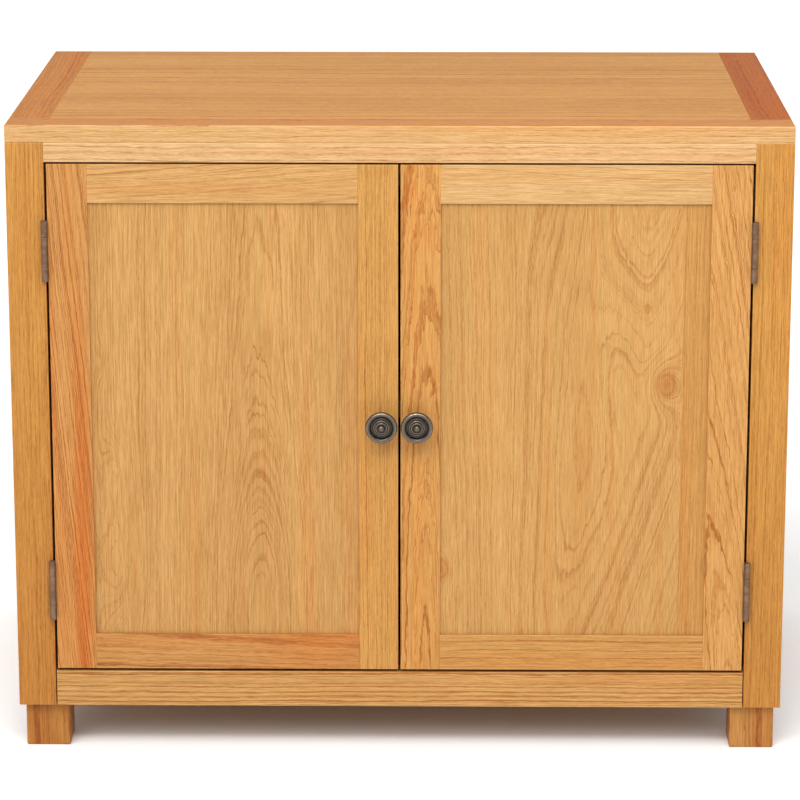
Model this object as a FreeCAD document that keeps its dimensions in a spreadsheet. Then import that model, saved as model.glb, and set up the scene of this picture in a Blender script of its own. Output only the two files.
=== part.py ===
"""A two-door media cabinet in oak: framed carcass, inset doors on butt hinges, block feet.

Frame: millimetres, +Z up, +X to the right as seen from the front, doors facing -Y.
The origin is on the floor, at the middle of the whole object's footprint, knobs included.

Every board is modelled in its own frame, centred on X, from its front face along +Y and from
its lower face along +Z, and is then put in its place in the cabinet.
"""
import FreeCAD, Part
import os
import re

Vector = FreeCAD.Vector
doc = FreeCAD.newDocument("media_cabinet")

# ---------------------------------------------------------------- driving dimensions

DIMENSIONS = (
    # whole cabinet
    ("cabinet_width", 800, "over the posts, and over the top"),
    ("carcass_depth", 495, "front face of the posts to the back"),
    ("post_width", 39, "square section of the corner posts"),
    ("opening_height", 542, "between the front rails"),
    # top
    ("top_thickness", 18, "all four boards of the top"),
    ("top_border", 42, "width of the top's front rail and side strips"),
    # feet
    ("foot_height", 47, "floor to the underside of the posts"),
    ("foot_width", 46, "square section of a foot"),
    ("foot_inset_x", 6, "foot's outer face inside the post's"),
    ("foot_inset_y", 8, "foot's front or back face inside the post's"),
    # front, rear and side rails
    ("head_rail_height", 20, "front rail over the doors"),
    ("head_rail_thickness", 19, "as thick as the doors"),
    ("stop_rail_height", 35, "rail behind the head rail that the doors meet"),
    ("stop_rail_thickness", 20, ""),
    ("stop_rail_gap", 0.5, "between a closed door and the stop rail"),
    ("base_rail_height", 38, "all four rails at the bottom"),
    ("base_rail_thickness", 24, "front rail under the doors"),
    ("rear_rail_thickness", 20, ""),
    ("upper_rail_height", 40, "rear and side rails at the top"),
    ("side_rail_thickness", 20, ""),
    ("side_wall_inset", 11.5, "post's outer face to the middle of the side wall"),
    ("tenon_length", 12, "of the carcass rails"),
    ("tenon_thickness", 8, ""),
    ("tenon_shoulder", 4, "above and below each tenon"),
    ("shoulder_gap", 1.2, "open joint between the front bottom rail and a post"),
    # panels
    ("side_panel_thickness", 12, ""),
    ("side_panel_groove", 6, "depth of the grooves that hold it"),
    ("back_panel_thickness", 6, ""),
    ("back_panel_rebate", 10, "width of the rear posts' rebates"),
    ("back_panel_recess", 2, "panel's back inside the posts' back faces"),
    ("cable_hole_radius", 30, "cable outlets in the back panel"),
    ("cable_hole_offset", 150, "outlets to the right of the middle, clear of the doors' gap"),
    ("floor_thickness", 15, "cabinet floor"),
    ("floor_rebate", 7, "how far the floor lies on the front and rear bottom rails"),
    ("floor_side_rebate", 4, "how far it lies on the side bottom rails"),
    # shelf
    ("shelf_thickness", 18, ""),
    ("shelf_clearance", 1.5, "between the shelf and the side panels"),
    ("shelf_level", 265, "cabinet floor to the shelf's underside"),
    ("shelf_pin_radius", 2.5, ""),
    ("shelf_pin_depth", 9, "in the side panel"),
    ("shelf_pin_setback", 45, "from the shelf's front and back edges"),
    ("shelf_pin_play", 0.5, "between a pin's end and the bottom of its hole"),
    ("pin_rest_length", 10, "flat rest at the head of a shelf pin"),
    ("pin_rest_gap", 0.2, "between a rest and the side panel"),
    ("pin_root", 1.5, "start of a pin, inside its rest"),
    ("shelf_step", 64, "between the heights that the shelf can take"),
    # doors
    ("hinge_gap", 2.6, "between a door and its post"),
    ("centre_gap", 2.5, "between the doors"),
    ("gap_above", 2, "over the doors"),
    ("gap_below", 3, "under the doors"),
    ("door_thickness", 19, ""),
    ("stile_width", 41, ""),
    ("door_top_rail", 40, "height"),
    ("door_bottom_rail", 38, "height"),
    ("door_groove", 8, "depth of the grooves, and length of the stub tenons"),
    ("door_panel_thickness", 9, ""),
    ("door_panel_inset", 3.5, "panel's face behind the frame's"),
    ("door_panel_slack", 0.5, "between the panel's edge and the groove's bottom"),
    # hinges
    ("hinge_length", 62, "leaves and barrel, without the pin's ends"),
    ("hinge_below_top", 90, "door's top edge to the middle of the upper hinge"),
    ("hinge_above_bottom", 86.5, "door's bottom edge to the middle of the lower hinge"),
    ("leaf_thickness", 1.25, ""),
    ("leaf_width", 16, "behind the front face"),
    ("knuckle_radius", 3.25, ""),
    ("knuckle_lap", 1, "of a knuckle's tab on its leaf"),
    ("knuckle_gap", 0.3, "between neighbouring knuckles"),
    ("knuckle_bore", 2.0, "radius"),
    ("hinge_pin_radius", 1.95, ""),
    ("hinge_pin_end", 1.2, "height of the domed ends"),
    ("hinge_pin_crown", 2, "radius of the flat on a domed end"),
    ("axis_proud", 3.6, "pin's axis in front of the posts' front face"),
    ("axis_outboard", 0.5, "pin's axis outside the posts' inner face"),
    # wood screws in the hinges, the catch and the strike plates
    ("screw_radius", 1.5, ""),
    ("screw_head_radius", 2.7, "countersunk"),
    ("screw_head_height", 1.25, ""),
    ("screw_length", 14, ""),
    ("screw_play", 0.05, "between a screw and its hole"),
    ("screw_spread", 22, "hinge's middle to its outer screws"),
    ("outer_screw_setback", 9.5, "behind the front face"),
    ("middle_screw_setback", 6.5, "behind the front face"),
    # knobs: levels are measured from the door's face
    ("knob_projection", 27, "from the door's face"),
    ("knob_from_edge", 17, "knob's axis to the door's meeting edge"),
    ("knob_below_top", 270, "door's top edge to the knob's axis"),
    ("rose_radius", 9, "disc against the door"),
    ("rose_height", 1.9, ""),
    ("rose_arris", 0.8, ""),
    ("stem_radius", 7.4, "at the door"),
    ("neck_radius", 5.6, "narrowest part of the stem"),
    ("stem_height", 9.8, ""),
    ("bell_level", 9.2, "where the bell leaves the stem"),
    ("rim_radius", 13.8, "to the middle of the rolled rim"),
    ("rim_tube", 2.7, "radius of the roll"),
    ("rim_level", 19.8, ""),
    ("dish_level", 17.7, "floor of the dish, and end of the bell"),
    ("dish_height", 1.3, ""),
    ("bead_radius", 0.75, "round edge of a stepped ring"),
    ("dome_radius", 3.8, ""),
    ("knob_screw_radius", 2, ""),
    ("knob_screw_grip", 10, "length of the screw inside the knob"),
    ("knob_screw_head", 2.4, "height of the pan head"),
    ("knob_screw_play", 1, "between the screw's end and the bottom of its hole"),
    # catch
    ("catch_width", 70, "body of the twin magnetic catch"),
    ("catch_depth", 16, ""),
    ("catch_height", 13, ""),
    ("catch_flange", 10, "width of the screw flange at each end"),
    ("catch_flange_thickness", 2.5, ""),
    ("catch_arris", 0.8, ""),
    ("magnet_width", 28, ""),
    ("magnet_height", 8, ""),
    ("magnet_drop", 1, "magnet's middle under the housing's"),
    ("magnet_backing", 4, "thickness of the housing behind a magnet"),
    ("strike_overlap", 2, "strike plate beyond the magnet's ends"),
    ("strike_height", 10, ""),
    ("strike_thickness", 1.25, ""),
    ("strike_gap", 0.5, "between a closed door's strike plate and the magnet"),
    # screws in the back, the top and the feet
    ("back_screw_radius", 1.75, ""),
    ("back_screw_head", 3.5, "radius of the pan head"),
    ("back_screw_length", 18, ""),
    ("back_screw_pitch_x", 210, "along the rear rails"),
    ("back_screw_pitch_z", 200, "up the rear posts"),
    ("back_screw_lowest", 150, "floor to the lowest screw in a rear post"),
    ("top_screw_radius", 2.25, ""),
    ("top_screw_head", 4.2, "radius"),
    ("top_screw_grip", 17, "of the rail under the top"),
    ("top_screw_bite", 11, "in the top"),
    ("top_screw_pitch", 180, "along the rails"),
    ("top_screw_play", 0.2, "between a screw and the rail"),
    ("top_head_play", 0.4, "between a screw's head and its counterbore"),
    ("foot_bolt_radius", 4, ""),
    ("foot_bolt_head", 6.5, "radius of the round washer head"),
    ("foot_bolt_sink", 16, "depth of the counterbore in the foot's underside"),
    ("foot_bolt_head_play", 1.5, "between the head and its counterbore"),
    ("foot_bolt_bite", 45, "in the post"),
    # eased edges
    ("post_arris", 1.0, ""),
    ("rail_arris", 0.8, ""),
    ("top_arris", 1.2, "outer edges of the top"),
    ("joint_arris", 0.4, "edges where the boards of the top meet"),
    ("door_arris", 0.6, "stiles and rails of the doors"),
    ("foot_arris", 2.0, ""),
)

sheet = doc.addObject("Spreadsheet::Sheet", "Sizes")
for row, (alias, value, note) in enumerate(DIMENSIONS, start=1):
    sheet.set(f"A{row}", alias)
    sheet.set(f"B{row}", str(value))
    sheet.set(f"C{row}", note)
    sheet.setAlias(f"B{row}", alias)
doc.recompute()

# ---------------------------------------------------------------- derived sizes, as expressions

FRONT = "(knob_projection - carcass_depth) / 2"
BACK = "(knob_projection + carcass_depth) / 2"
OPENING_BOTTOM = "(foot_height + base_rail_height)"
OPENING_TOP = "(foot_height + base_rail_height + opening_height)"
CARCASS_TOP = f"({OPENING_TOP} + head_rail_height)"
POST_HEIGHT = f"({CARCASS_TOP} - foot_height)"
OPENING_WIDTH = "(cabinet_width - 2 * post_width)"
POST_X = "(cabinet_width - post_width) / 2"
WALL_X = "(cabinet_width / 2 - side_wall_inset)"
WALL_LENGTH = "(carcass_depth - 2 * post_width)"
REAR_POST_Y = f"({BACK} - post_width)"
BACK_PANEL_Y = f"({BACK} - back_panel_recess - back_panel_thickness)"
REAR_RAIL_Y = f"({BACK_PANEL_Y} - rear_rail_thickness)"
STOP_RAIL_Y = f"({FRONT} + door_thickness + stop_rail_gap)"
DOOR_BOTTOM = f"({OPENING_BOTTOM} + gap_below)"
DOOR_HEIGHT = "(opening_height - gap_above - gap_below)"
DOOR_WIDTH = f"({OPENING_WIDTH} / 2 - hinge_gap - centre_gap / 2)"
DOOR_X = f"(centre_gap / 2 + {DOOR_WIDTH} / 2)"
AXIS_X = f"({OPENING_WIDTH} / 2 + axis_outboard)"
AXIS_Y = f"({FRONT} - axis_proud)"
UPPER_HINGE_Z = f"({DOOR_BOTTOM} + {DOOR_HEIGHT} - hinge_below_top)"
LOWER_HINGE_Z = f"({DOOR_BOTTOM} + hinge_above_bottom)"
KNOB_Z = f"({DOOR_BOTTOM} + {DOOR_HEIGHT} - knob_below_top)"
SHELF_Z = f"({OPENING_BOTTOM} + shelf_level)"
CATCH_Y = f"({FRONT} + door_thickness + strike_thickness + strike_gap)"
CATCH_TOP = f"({CARCASS_TOP} - stop_rail_height)"
MEETING_STILE_X = "(centre_gap + stile_width) / 2"
FOOT_X = "(cabinet_width / 2 - foot_inset_x - foot_width / 2)"
FOOT_BOLT_FROM_FACE = "(foot_inset_y + foot_width / 2)"
UPPER_RAIL_Z = f"({CARCASS_TOP} - upper_rail_height)"
CATCH_SCREW_X = "(catch_width + catch_flange) / 2"
TENON_SPAN = f"{OPENING_WIDTH} + 2 * tenon_length"
SIDE_TENON_SPAN = f"{WALL_LENGTH} + 2 * tenon_length"
KNOB_X = "(centre_gap / 2 + knob_from_edge)"
STRIKE_Z = f"({CATCH_TOP} - catch_height + strike_height / 2)"

# Rows of screws and of shelf pins; those of the pins are measured back from the front posts.
TOP_SCREW_X = [f"{step} * top_screw_pitch" for step in (-1.5, -0.5, 0.5, 1.5)]
BACK_SCREW_X = [f"{step} * back_screw_pitch_x" for step in (-1, 0, 1)]
BACK_SCREW_Z = [f"(back_screw_lowest + {step} * back_screw_pitch_z)" for step in (0, 1, 2)]
PIN_ROWS = ("shelf_pin_setback", f"({WALL_LENGTH} - shelf_pin_setback)")

# Heights of the cable outlets: the middle of the lower and of the upper compartment.
CABLE_HOLE_Z = (
    f"({OPENING_BOTTOM} + shelf_level / 2)",
    f"({SHELF_Z} + shelf_thickness + shelf_level / 2)",
)

# Screws of one hinge leaf: distance behind the front face, and height in screw spreads.
HINGE_SCREWS = (
    ("outer_screw_setback", -1),
    ("middle_screw_setback", 0),
    ("outer_screw_setback", 1),
)

# Knuckles of one barrel, as (lower end, upper end) in quarters of its length from the middle.
FRAME_KNUCKLES = ((-2, -1), (1, 2))
DOOR_KNUCKLES = ((-1, 1),)

# Stepped rings on a knob's face: radius, and level from the door's face, in millimetres.
KNOB_RINGS = ((9.5, 20.1), (7.3, 21.6), (5.1, 23.3))

NEAR = 0.01  # positions closer than this are the same
SIDES = (("left", -1), ("right", 1))
HINGE_LEVELS = (("upper", UPPER_HINGE_Z), ("lower", LOWER_HINGE_Z))

# ---------------------------------------------------------------- helpers

ALIASES = re.compile(r"\b(" + "|".join(alias for alias, value, note in DIMENSIONS) + r")\b")


def bind(thing, prop, text):
    """Sets a property by an expression written with the sheet's aliases."""
    thing.setExpression(prop, ALIASES.sub(r"Sizes.\1", text))


def read(text):
    """The value of an expression in the sheet's aliases."""
    return doc.Sizes.evalExpression(ALIASES.sub(r"Sizes.\1", text))


def place(thing, at):
    """Binds the three coordinates of a Placement."""
    for axis, text in zip("xyz", at):
        bind(thing, f"Placement.Base.{axis}", text)


def new_body(label, at):
    """An empty sub-part, with its frame at a place in the cabinet."""
    body = doc.addObject("PartDesign::Body", label)
    body.Label = label
    body.AllowCompound = True
    place(body, at)
    return body


def block(body, name, at, size, cut=False):
    """A box in a sub-part, centred on X at `at`, from there along +Y and +Z."""
    kind = "Subtractive" if cut else "Additive"
    box = body.newObject(f"PartDesign::{kind}Box", name)
    for prop, text in zip(("Length", "Width", "Height"), size):
        bind(box, prop, text)
    place(box, (f"{at[0]} - ({size[0]}) / 2", at[1], at[2]))
    return box


def rod(body, name, at, direction, radius, length, cut=False):
    """A cylinder from `at` along a direction."""
    kind = "Subtractive" if cut else "Additive"
    cylinder = body.newObject(f"PartDesign::{kind}Cylinder", name)
    bind(cylinder, "Radius", radius)
    bind(cylinder, "Height", length)
    cylinder.Placement.Rotation = FreeCAD.Rotation(Vector(0, 0, 1), Vector(*direction))
    place(cylinder, at)
    return cylinder


def cone(body, name, at, direction, start_radius, end_radius, length, cut=False):
    """A cone frustum from `at` along a direction."""
    kind = "Subtractive" if cut else "Additive"
    frustum = body.newObject(f"PartDesign::{kind}Cone", name)
    bind(frustum, "Radius1", start_radius)
    bind(frustum, "Radius2", end_radius)
    bind(frustum, "Height", length)
    frustum.Placement.Rotation = FreeCAD.Rotation(Vector(0, 0, 1), Vector(*direction))
    place(frustum, at)
    return frustum


def ease(body, radius, wanted=None):
    """Rounds the edges of the sub-part so far: all of them, or those that `wanted` picks."""
    doc.recompute()
    base = body.Tip
    edges = base.Shape.Edges
    names = [f"Edge{i}" for i, edge in enumerate(edges, 1) if wanted is None or wanted(edge)]
    fillet = body.newObject("PartDesign::Fillet", "Arris")
    fillet.Base = (base, names)
    bind(fillet, "Radius", radius)
    return fillet


def board(label, at, size, arris=None):
    """A sub-part that starts as one board, with all its edges eased."""
    body = new_body(label, at)
    block(body, "Board", ("0", "0", "0"), size)
    if arris:
        ease(body, arris)
    return body


def countersunk_screw(body, at, direction):
    """A wood screw: a conical head flush with `at`, and a shank."""
    head = ("screw_head_radius", "screw_radius", "screw_head_height")
    cone(body, "Head", at, direction, *head)
    rod(body, "Shank", at, direction, "screw_radius", "screw_length")


def screw_hole(body, at, direction):
    """The pilot hole of a wood screw."""
    rod(body, "PilotHole", at, direction, "screw_radius + screw_play", "screw_length", cut=True)


def countersink(body, at, direction, thickness):
    """A countersunk hole through a metal plate of a given thickness."""
    start, end = "screw_head_radius + screw_play", "screw_radius + screw_play"
    cone(body, "Countersink", at, direction, start, end, thickness, cut=True)


# ---------------------------------------------------------------- carcass rails

# Rails across the cabinet: label, front face, thickness, lower face, height.
FRONT_RAILS = (
    ("front_top_rail", FRONT, "head_rail_thickness", OPENING_TOP, "head_rail_height"),
    ("door_stop_rail", STOP_RAIL_Y, "stop_rail_thickness", CATCH_TOP, "stop_rail_height"),
    ("front_bottom_rail", FRONT, "base_rail_thickness", "foot_height", "base_rail_height"),
)
REAR_RAILS = (
    ("rear_top_rail", REAR_RAIL_Y, "rear_rail_thickness", UPPER_RAIL_Z, "upper_rail_height"),
    ("rear_bottom_rail", REAR_RAIL_Y, "rear_rail_thickness", "foot_height", "base_rail_height"),
)
# Rails along the sides: name, lower face, height.
SIDE_RAILS = (
    ("top_rail", UPPER_RAIL_Z, "upper_rail_height"),
    ("bottom_rail", "foot_height", "base_rail_height"),
)


def cross_rail(label, front, thickness, bottom, height):
    """A rail from post to post, with a tenon at each end."""
    rail = board(label, ("0", front, bottom), (OPENING_WIDTH, thickness, height), "rail_arris")
    tenons = (TENON_SPAN, "tenon_thickness", f"{height} - 2 * tenon_shoulder")
    at = ("0", f"({thickness} - tenon_thickness) / 2", "tenon_shoulder")
    block(rail, "Tenons", at, tenons)
    return rail


def add_floor_rebate(rail, ledge_y, height):
    """The step in a bottom rail that the cabinet floor lies on."""
    at = ("0", ledge_y, f"{height} - floor_thickness")
    block(rail, "Rebate", at, (OPENING_WIDTH, "floor_rebate", "floor_thickness"), cut=True)


def add_top_screw_holes(rail, thickness, height):
    """Counterbored holes from the rail's lower face, for the screws that hold the top."""
    for x in TOP_SCREW_X:
        at = (x, f"{thickness} / 2", "0")
        sink = f"{height} - top_screw_grip"
        rod(rail, "Counterbore", at, (0, 0, 1), "top_screw_head + top_head_play", sink, cut=True)
        radius = "top_screw_radius + top_screw_play"
        rod(rail, "Clearance", at, (0, 0, 1), radius, height, cut=True)


def add_back_screw_holes(rail, thickness, height):
    """Pilot holes in a rear rail for the screws of the back panel."""
    for x in BACK_SCREW_X:
        at = (x, thickness, f"{height} / 2")
        depth = "back_screw_length - back_panel_thickness"
        rod(rail, "PilotHole", at, (0, -1, 0), "back_screw_radius + screw_play", depth, cut=True)


def add_shoulder_gaps(rail):
    """The open joints at the ends of the front bottom rail, as deep as its tenons' faces."""
    size = ("shoulder_gap", "(base_rail_thickness - tenon_thickness) / 2", "base_rail_height")
    for side_name, side in SIDES:
        at = (f"{side} * ({OPENING_WIDTH} - shoulder_gap) / 2", "0", "0")
        block(rail, "ShoulderGap", at, size, cut=True)


def make_cross_rails():
    """The three rails at the front and the two at the back."""
    rails = {}
    for label, front, thickness, bottom, height in FRONT_RAILS + REAR_RAILS:
        rails[label] = cross_rail(label, front, thickness, bottom, height)
    add_shoulder_gaps(rails["front_bottom_rail"])
    front_ledge = "base_rail_thickness - floor_rebate"
    add_floor_rebate(rails["front_bottom_rail"], front_ledge, "base_rail_height")
    add_floor_rebate(rails["rear_bottom_rail"], "0", "base_rail_height")
    add_top_screw_holes(rails["door_stop_rail"], "stop_rail_thickness", "stop_rail_height")
    add_top_screw_holes(rails["rear_top_rail"], "rear_rail_thickness", "upper_rail_height")
    add_back_screw_holes(rails["rear_top_rail"], "rear_rail_thickness", "upper_rail_height")
    add_back_screw_holes(rails["rear_bottom_rail"], "rear_rail_thickness", "base_rail_height")
    for side_name, side in SIDES:
        at = (f"{side} * {CATCH_SCREW_X}", f"{CATCH_Y} + catch_depth / 2 - ({STOP_RAIL_Y})", "0")
        screw_hole(rails["door_stop_rail"], at, (0, 0, 1))


def make_side_rail(side_name, side, name, bottom, height):
    """A rail from a front post to a rear post, grooved for the side panel."""
    at = (f"{side} * {WALL_X}", f"{FRONT} + post_width", bottom)
    size = ("side_rail_thickness", WALL_LENGTH, height)
    rail = board(f"{side_name}_side_{name}", at, size, "rail_arris")
    tenons = ("tenon_thickness", SIDE_TENON_SPAN, f"{height} - 2 * tenon_shoulder")
    block(rail, "Tenons", ("0", "-tenon_length", "tenon_shoulder"), tenons)
    groove_z = "0" if name == "top_rail" else f"{height} - side_panel_groove"
    groove = ("side_panel_thickness", SIDE_TENON_SPAN, "side_panel_groove")
    block(rail, "Groove", ("0", "-tenon_length", groove_z), groove, cut=True)
    if name == "bottom_rail":
        ledge_x = f"{-side} * (side_rail_thickness - floor_side_rebate) / 2"
        at = (ledge_x, "0", f"{height} - floor_thickness")
        size = ("floor_side_rebate", WALL_LENGTH, "floor_thickness")
        block(rail, "Rebate", at, size, cut=True)


def make_side_panel(side_name, side):
    """A side panel, with holes for the shelf pins in its inner face."""
    at = (
        f"{side} * {WALL_X}",
        f"{FRONT} + post_width - side_panel_groove",
        f"{OPENING_BOTTOM} - side_panel_groove",
    )
    size = (
        "side_panel_thickness",
        f"{WALL_LENGTH} + 2 * side_panel_groove",
        f"{UPPER_RAIL_Z} - {OPENING_BOTTOM} + 2 * side_panel_groove",
    )
    panel = board(f"{side_name}_side_panel", at, size)
    for row in PIN_ROWS:
        for step in (-1, 0, 1):
            hole_z = f"shelf_level - shelf_pin_radius + {step} * shelf_step"
            at = (
                f"{-side} * side_panel_thickness / 2",
                f"side_panel_groove + {row}",
                f"side_panel_groove + {hole_z}",
            )
            radius = "shelf_pin_radius + screw_play"
            rod(panel, "PinHole", at, (side, 0, 0), radius, "shelf_pin_depth", cut=True)


def make_side_walls():
    for side_name, side in SIDES:
        for name, bottom, height in SIDE_RAILS:
            make_side_rail(side_name, side, name, bottom, height)
        make_side_panel(side_name, side)


# ---------------------------------------------------------------- posts and feet

def add_cross_mortises(post, side, rails, post_front):
    """Mortises in a post's inner face for the rails across the cabinet."""
    for label, front, thickness, bottom, height in rails:
        at = (
            f"{-side} * (post_width - tenon_length) / 2",
            f"{front} + ({thickness} - tenon_thickness) / 2 - ({post_front})",
            f"{bottom} - foot_height + tenon_shoulder",
        )
        size = ("tenon_length", "tenon_thickness", f"{height} - 2 * tenon_shoulder")
        block(post, "Mortise", at, size, cut=True)


def add_side_housings(post, side, at_front):
    """Mortises for the side rails, and between them the groove for the side panel."""
    wall_x = f"{side} * ({WALL_X} - {POST_X})"
    for name, bottom, height in SIDE_RAILS:
        start = "post_width - tenon_length" if at_front else "0"
        at = (wall_x, start, f"{bottom} - foot_height + tenon_shoulder")
        size = ("tenon_thickness", "tenon_length", f"{height} - 2 * tenon_shoulder")
        block(post, "SideMortise", at, size, cut=True)
    start = "post_width - side_panel_groove" if at_front else "0"
    at = (wall_x, start, "base_rail_height - side_panel_groove")
    height = f"{UPPER_RAIL_Z} - {OPENING_BOTTOM} + 2 * side_panel_groove"
    block(post, "PanelGroove", at, ("side_panel_thickness", "side_panel_groove", height), cut=True)


def add_hinge_gains(post, side):
    """Recesses for the hinge leaves in a front post, and the pilot holes of their screws."""
    inner_face = f"{-side} * post_width / 2"
    for level, hinge_z in HINGE_LEVELS:
        middle = f"{hinge_z} - foot_height"
        at = (
            f"{-side} * (post_width - leaf_thickness) / 2",
            "0",
            f"{middle} - hinge_length / 2",
        )
        block(post, "Gain", at, ("leaf_thickness", "leaf_width", "hinge_length"), cut=True)
        for back, up in HINGE_SCREWS:
            at = (inner_face, back, f"{middle} + {up} * screw_spread")
            screw_hole(post, at, (side, 0, 0))


def add_foot_bolt_hole(post, side, at_front):
    """The pilot hole for the bolt that comes up through the foot."""
    at = (
        f"{side} * ({FOOT_X} - {POST_X})",
        FOOT_BOLT_FROM_FACE if at_front else f"post_width - {FOOT_BOLT_FROM_FACE}",
        "0",
    )
    rod(post, "BoltHole", at, (0, 0, 1), "foot_bolt_radius + screw_play", "foot_bolt_bite", cut=True)


def add_back_rebate(post, side):
    """The rebate that the back panel lies in, and the pilot holes of its screws."""
    x = f"{-side} * (post_width - back_panel_rebate) / 2"
    depth = "(back_panel_recess + back_panel_thickness)"
    size = ("back_panel_rebate", depth, POST_HEIGHT)
    block(post, "Rebate", (x, f"post_width - {depth}", "0"), size, cut=True)
    for z in BACK_SCREW_Z:
        at = (x, f"post_width - {depth}", f"{z} - foot_height")
        bite = "back_screw_length - back_panel_thickness"
        rod(post, "PilotHole", at, (0, -1, 0), "back_screw_radius + screw_play", bite, cut=True)


def make_posts():
    for side_name, side in SIDES:
        size = ("post_width", "post_width", POST_HEIGHT)
        at = (f"{side} * {POST_X}", FRONT, "foot_height")
        post = board(f"front_{side_name}_post", at, size, "post_arris")
        add_cross_mortises(post, side, FRONT_RAILS, FRONT)
        add_side_housings(post, side, at_front=True)
        add_hinge_gains(post, side)
        add_foot_bolt_hole(post, side, at_front=True)
        at = (f"{side} * {POST_X}", REAR_POST_Y, "foot_height")
        post = board(f"rear_{side_name}_post", at, size, "post_arris")
        add_cross_mortises(post, side, REAR_RAILS, REAR_POST_Y)
        add_side_housings(post, side, at_front=False)
        add_back_rebate(post, side)
        add_foot_bolt_hole(post, side, at_front=False)


def make_feet():
    """Four block feet, each held by a bolt from its underside."""
    bolts = new_body("foot_bolts", ("0", "0", "0"))
    rows = (
        ("front", f"{FRONT} + foot_inset_y"),
        ("rear", f"{BACK} - foot_inset_y - foot_width"),
    )
    for row_name, foot_front in rows:
        for side_name, side in SIDES:
            at = (f"{side} * {FOOT_X}", foot_front, "0")
            size = ("foot_width", "foot_width", "foot_height")
            foot = board(f"{row_name}_{side_name}_foot", at, size, "foot_arris")
            middle = ("0", "foot_width / 2", "0")
            sink_radius = "foot_bolt_head + foot_bolt_head_play"
            rod(foot, "Counterbore", middle, (0, 0, 1), sink_radius, "foot_bolt_sink", cut=True)
            radius = "foot_bolt_radius + screw_play"
            rod(foot, "BoltHole", middle, (0, 0, 1), radius, "foot_height", cut=True)
            bolt_x, bolt_y = f"{side} * {FOOT_X}", f"{foot_front} + foot_width / 2"
            head = (bolt_x, bolt_y, "foot_bolt_sink")
            rod(bolts, "Head", head, (0, 0, -1), "foot_bolt_head", "foot_bolt_radius")
            length = "foot_height - foot_bolt_sink + foot_bolt_bite"
            rod(bolts, "Shank", head, (0, 0, 1), "foot_bolt_radius", length)


# ---------------------------------------------------------------- top, floor, shelf and back

def lies_on_outline(edge, corner):
    """Whether an edge of a board of the top lies on the outline of the whole top."""
    middle = edge.CenterOfMass + corner
    at_side = abs(abs(middle.x) - read("cabinet_width") / 2) < NEAR
    at_end = min(abs(middle.y - read(FRONT)), abs(middle.y - read(BACK))) < NEAR
    upright = edge.BoundBox.ZLength > NEAR
    return (at_side and at_end) if upright else (at_side or at_end)


def meets_neighbour(edge, corner):
    """Whether an edge of a board's upper face meets another board of the top."""
    middle = edge.CenterOfMass + corner
    reach = read("top_arris") + NEAR
    near_side = abs(middle.x) > read("cabinet_width") / 2 - reach
    near_end = middle.y < read(FRONT) + reach or middle.y > read(BACK) - reach
    flat = edge.BoundBox.ZLength < NEAR and edge.Length > read("top_thickness")
    at_top = abs(edge.CenterOfMass.z - read("top_thickness")) < NEAR
    return flat and at_top and not (near_side or near_end)


def make_top():
    """The top: a rail along the front, a strip along each side, and a panel between them."""
    inner_y = f"({FRONT} + top_border)"
    inner_length = "(carcass_depth - top_border)"
    boards = [
        ("top_front_rail", "0", FRONT, "cabinet_width", "top_border"),
        ("top_centre_panel", "0", inner_y, "cabinet_width - 2 * top_border", inner_length),
    ]
    for side_name, side in SIDES:
        middle = f"{side} * (cabinet_width - top_border) / 2"
        boards.append((f"top_{side_name}_strip", middle, inner_y, "top_border", inner_length))
    pieces = {}
    for label, x, y, width, length in boards:
        piece = board(label, (x, y, CARCASS_TOP), (width, length, "top_thickness"))
        doc.recompute()
        corner = piece.Placement.Base
        ease(piece, "top_arris", lambda edge: lies_on_outline(edge, corner))
        ease(piece, "joint_arris", lambda edge: meets_neighbour(edge, corner))
        pieces[label] = piece
    front_row = f"{STOP_RAIL_Y} + stop_rail_thickness / 2 - ({FRONT})"
    rear_row = f"{REAR_RAIL_Y} + rear_rail_thickness / 2 - {inner_y}"
    add_top_pilots(pieces["top_front_rail"], front_row)
    add_top_pilots(pieces["top_centre_panel"], rear_row)


def add_top_pilots(piece, y):
    """Pilot holes in the underside of the top for the screws that hold it."""
    for x in TOP_SCREW_X:
        radius = "top_screw_radius + screw_play"
        rod(piece, "PilotHole", (x, y, "0"), (0, 0, 1), radius, "top_screw_bite", cut=True)


def make_top_screws():
    """Screws through the stop rail and the rear top rail, up into the top."""
    screws = new_body("top_fixing_screws", ("0", "0", "0"))
    rows = (
        f"{STOP_RAIL_Y} + stop_rail_thickness / 2",
        f"{REAR_RAIL_Y} + rear_rail_thickness / 2",
    )
    for y in rows:
        for x in TOP_SCREW_X:
            at = (x, y, f"{CARCASS_TOP} - top_screw_grip")
            length = "top_screw_grip + top_screw_bite"
            rod(screws, "Shank", at, (0, 0, 1), "top_screw_radius", length)
            rod(screws, "Head", at, (0, 0, -1), "top_screw_head", "top_screw_radius")


def make_floor():
    """The cabinet floor, notched round the posts and lying on the bottom rails."""
    front = f"({FRONT} + base_rail_thickness - floor_rebate)"
    back = f"({REAR_RAIL_Y} + floor_rebate)"
    half = f"({WALL_X} - side_rail_thickness / 2 + floor_side_rebate)"
    at = ("0", front, f"{OPENING_BOTTOM} - floor_thickness")
    size = (f"2 * {half}", f"{back} - {front}", "floor_thickness")
    panel = board("cabinet_floor", at, size)
    notch_width = f"({half} - {OPENING_WIDTH} / 2)"
    front_notch = f"({FRONT} + post_width - {front})"
    rear_notch = f"({back} - {REAR_POST_Y})"
    for side_name, side in SIDES:
        x = f"{side} * ({half} - {notch_width} / 2)"
        size = (notch_width, front_notch, "floor_thickness")
        block(panel, "FrontNotch", (x, "0", "0"), size, cut=True)
        size = (notch_width, rear_notch, "floor_thickness")
        block(panel, "RearNotch", (x, f"{REAR_POST_Y} - {front}", "0"), size, cut=True)


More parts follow.
